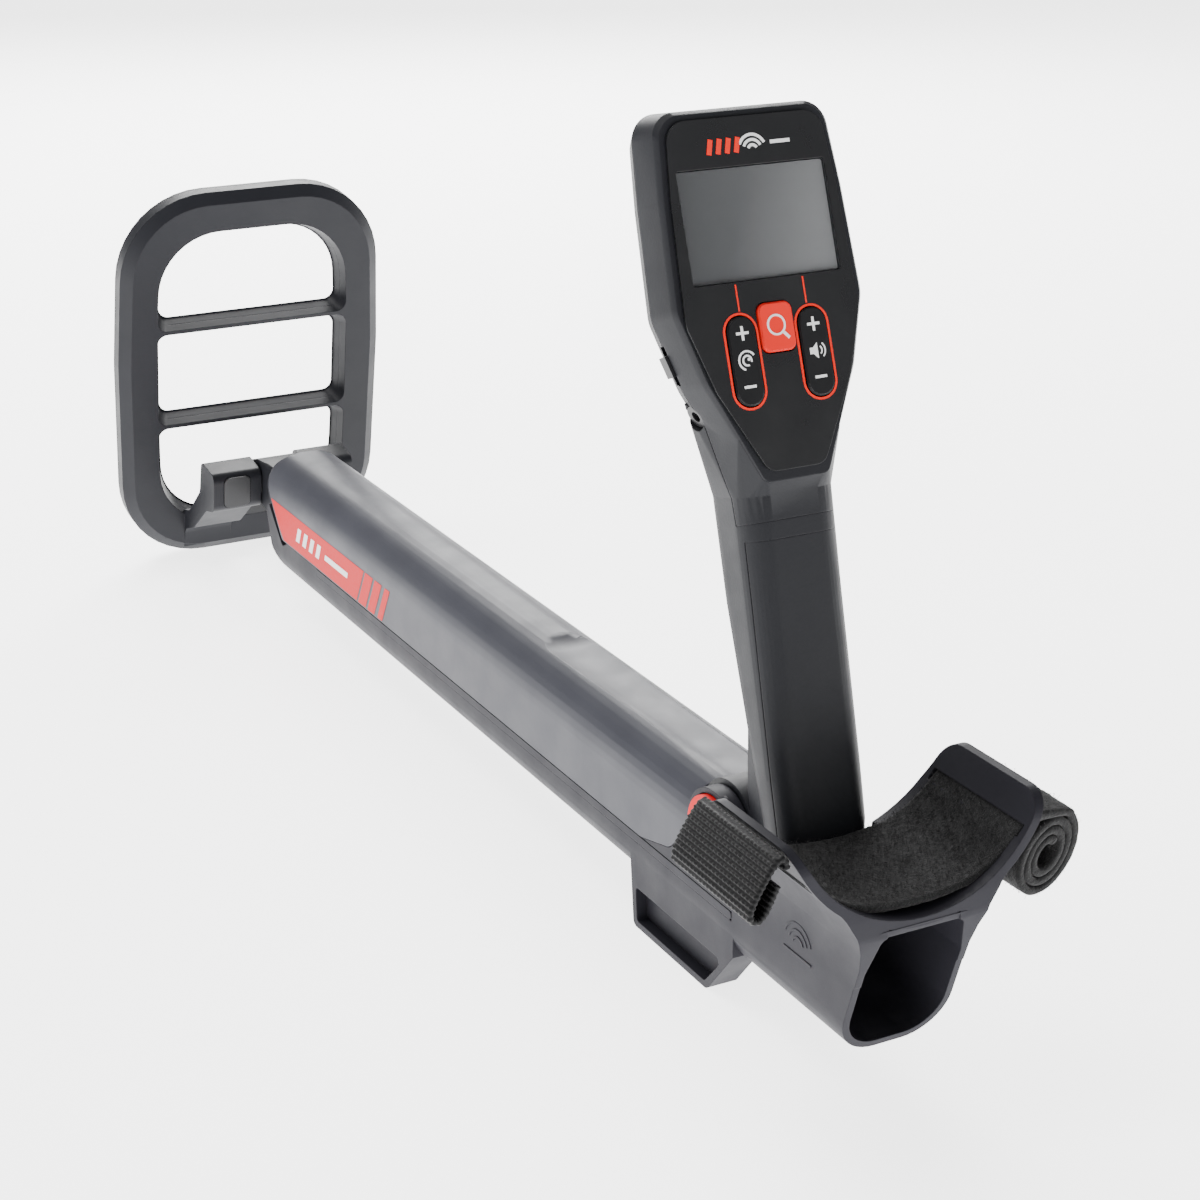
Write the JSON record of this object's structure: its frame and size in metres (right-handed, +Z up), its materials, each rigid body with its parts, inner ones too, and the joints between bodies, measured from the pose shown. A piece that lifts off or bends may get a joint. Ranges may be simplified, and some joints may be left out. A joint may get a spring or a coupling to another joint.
{
  "type": "metal detector",
  "caption": "Folding hand-held metal detector: search coil on a telescoping shaft, upright grip with control pod, arm cuff with strap.",
  "frame": {"origin": "centre of the footprint on the ground, with the shaft collapsed and the grip upright", "axes": "+Z up, +Y along the shaft towards the search coil, X across"},
  "size_m": [0.1328, 0.6001, 0.2904],
  "materials": {
    "housing_plastic": "fine satin grain",
    "cover_plastic": "satin, slightly metallic grey",
    "grip_plastic": "soft-touch fine grain",
    "coil_plastic": "satin moulded",
    "gloss_black": "smooth printed film",
    "red_plastic": "satin red",
    "black_webbing": "ribbed webbing",
    "loop_fabric": "brushed loop pile",
    "shaft_tube": "smooth extruded",
    "acetal": "smooth bearing plastic",
    "steel": "plated steel",
    "rubber": "smooth",
    "window": "clear window",
    "lcd": "grey display",
    "board": "solder mask",
    "copper": "enamelled winding wire",
    "cell": "printed cell sleeve"
  },
  "bodies": {
    "housing": {"lower_housing": "housing_plastic", "top_cover": "cover_plastic", "side_rails": "housing_plastic", "front_collar": "housing_plastic", "housing_screws": "steel", "pivot_pin": "steel", "strap_pad": "loop_fabric", "strap_loop": "black_webbing", "strap_roll": "black_webbing"},
    "release_button": {"release_button": "red_plastic"},
    "mid_shaft": {"mid_tube": "shaft_tube", "mid_slider": "acetal", "mid_bush": "acetal"},
    "lower_shaft": {"lower_tube": "shaft_tube", "lower_slider": "acetal", "shaft_knuckle": "coil_plastic", "hinge_washers": "rubber"},
    "coil": {"coil_shell": "coil_plastic", "coil_base": "coil_plastic", "coil_winding": "copper", "hinge_bolt": "steel", "hinge_caps": "coil_plastic"},
    "grip": {"grip_front": "grip_plastic", "grip_rear": "grip_plastic", "face_plate": "gloss_black", "display_window": "window", "display_panel": "lcd", "circuit_board": "board", "speaker": "coil_plastic", "keypad_mat": "rubber", "batteries": "cell", "battery_contacts": "steel", "headphone_jack": "gloss_black", "grip_screws": "steel"},
    "rocker_left": {"rocker_left": "gloss_black"},
    "rocker_right": {"rocker_right": "gloss_black"},
    "centre_key": {"centre_key": "red_plastic"},
    "power_slider": {"power_slider": "coil_plastic"},
    "battery_door": {"battery_door": "grip_plastic"}
  },
  "joints": [
    {"name": "release_press", "type": "slide", "parent": "housing", "child": "release_button", "axis": [1, 0, 0], "range_m": [0, 0.0025], "stiffness_N_per_m": 400},
    {"name": "grip_fold", "type": "hinge", "parent": "housing", "child": "grip", "pos_m": [0, -0.2085, 0.0594], "axis": [1, 0, 0], "range_deg": [-74, 0]},
    {"name": "mid_extend", "type": "slide", "parent": "housing", "child": "mid_shaft", "axis": [0, 1, 0], "range_m": [0, 0.24]},
    {"name": "lower_extend", "type": "slide", "parent": "mid_shaft", "child": "lower_shaft", "axis": [0, 1, 0], "range_m": [0, 0.24]},
    {"name": "coil_tilt", "type": "hinge", "parent": "lower_shaft", "child": "coil", "pos_m": [0, 0.2451, 0.0486], "axis": [1, 0, 0], "range_deg": [-78, 80]},
    {"name": "left_rock", "type": "hinge", "parent": "grip", "child": "rocker_left", "pos_m": [-0.0127, -0.2081, 0.2175], "axis": [1, 0, 0], "range_deg": [-1.5, 1.5], "stiffness_Nm_per_rad": 0.2},
    {"name": "right_rock", "type": "hinge", "parent": "grip", "child": "rocker_right", "pos_m": [0.0127, -0.2081, 0.2175], "axis": [1, 0, 0], "range_deg": [-1.5, 1.5], "stiffness_Nm_per_rad": 0.2},
    {"name": "key_press", "type": "slide", "parent": "grip", "child": "centre_key", "axis": [0, 0.9397, -0.342], "range_m": [0, 0.0007], "stiffness_N_per_m": 600},
    {"name": "power_slide", "type": "slide", "parent": "grip", "child": "power_slider", "axis": [-0.2924, 0.3271, 0.8986], "range_m": [-0.0025, 0.0025]},
    {"name": "door_lift", "type": "slide", "parent": "grip", "child": "battery_door", "axis": [0, 0.9686, -0.2487], "range_m": [0, 0.04]}
  ]
}
